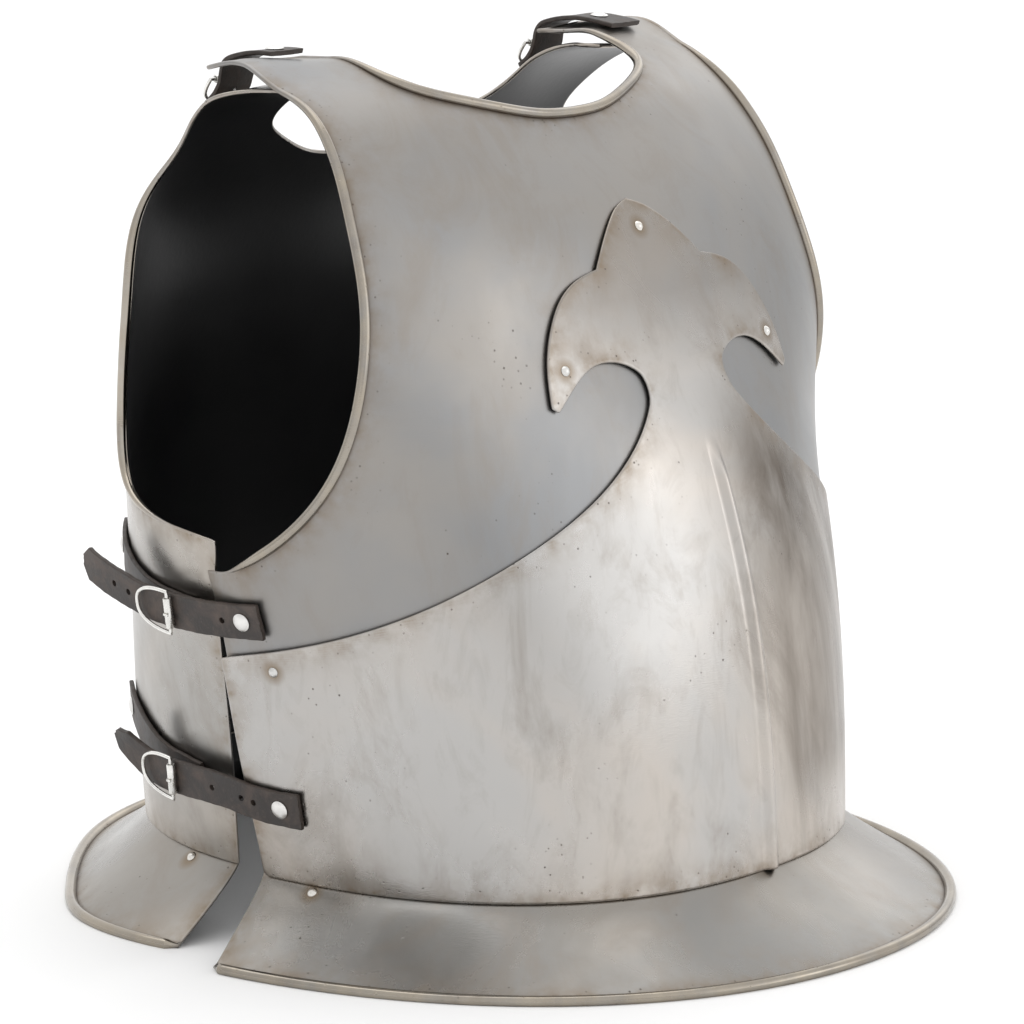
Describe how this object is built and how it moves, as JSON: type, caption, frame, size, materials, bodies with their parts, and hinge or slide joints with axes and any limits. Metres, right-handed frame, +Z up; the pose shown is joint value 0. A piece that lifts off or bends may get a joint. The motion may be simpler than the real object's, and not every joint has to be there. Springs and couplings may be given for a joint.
{
  "type": "steel cuirass",
  "caption": "Plain steel body armour: breastplate with fleur-topped plackart and keel, backplate, two flared skirts with rolled rims, leather straps and roller buckles.",
  "frame": {"origin": "on the ground, under the middle of the object's box: the skirts' rolled rims stand on z = 0", "axes": "+Z up, the wearer faces -Y, the wearer's left is +X"},
  "size_m": [0.453, 0.4992, 0.4503],
  "materials": {
    "steel": "polished and lightly brushed, faintly warm, with small dark pits",
    "leather": "dark brown, matt, with rough cut ends",
    "buckle_metal": "nickel plate, bright"
  },
  "bodies": {
    "root": {"breastplate": "steel", "plackart": "steel", "backplate": "steel", "front_skirt": "steel", "back_skirt": "steel", "fleur_rivet": "steel", "volute_rivet_right": "steel", "plackart_side_rivet_right": "steel", "front_skirt_rivet_right": "steel", "back_skirt_rivet_right": "steel", "upper_buckle_right_frame": "buckle_metal", "upper_buckle_right_roller": "buckle_metal", "upper_buckle_right_prong": "buckle_metal", "upper_strap_right": "leather", "upper_strap_base_right": "leather", "upper_strap_rivet_right": "buckle_metal", "upper_base_rivet_right": "buckle_metal", "lower_buckle_right_frame": "buckle_metal", "lower_buckle_right_roller": "buckle_metal", "lower_buckle_right_prong": "buckle_metal", "lower_strap_right": "leather", "lower_strap_base_right": "leather", "lower_strap_rivet_right": "buckle_metal", "lower_base_rivet_right": "buckle_metal", "shoulder_buckle_right_frame": "buckle_metal", "shoulder_buckle_right_roller": "buckle_metal", "shoulder_buckle_right_prong": "buckle_metal", "shoulder_strap_right": "leather", "shoulder_strap_base_right": "leather", "shoulder_strap_rivet_right": "buckle_metal", "shoulder_base_rivet_right": "buckle_metal", "volute_rivet_left": "steel", "plackart_side_rivet_left": "steel", "front_skirt_rivet_left": "steel", "back_skirt_rivet_left": "steel", "upper_buckle_left_frame": "buckle_metal", "upper_buckle_left_roller": "buckle_metal", "upper_buckle_left_prong": "buckle_metal", "upper_strap_left": "leather", "upper_strap_base_left": "leather", "upper_strap_rivet_left": "buckle_metal", "upper_base_rivet_left": "buckle_metal", "lower_buckle_left_frame": "buckle_metal", "lower_buckle_left_roller": "buckle_metal", "lower_buckle_left_prong": "buckle_metal", "lower_strap_left": "leather", "lower_strap_base_left": "leather", "lower_strap_rivet_left": "buckle_metal", "lower_base_rivet_left": "buckle_metal", "shoulder_buckle_left_frame": "buckle_metal", "shoulder_buckle_left_roller": "buckle_metal", "shoulder_buckle_left_prong": "buckle_metal", "shoulder_strap_left": "leather", "shoulder_strap_base_left": "leather", "shoulder_strap_rivet_left": "buckle_metal", "shoulder_base_rivet_left": "buckle_metal"}
  },
  "joints": []
}
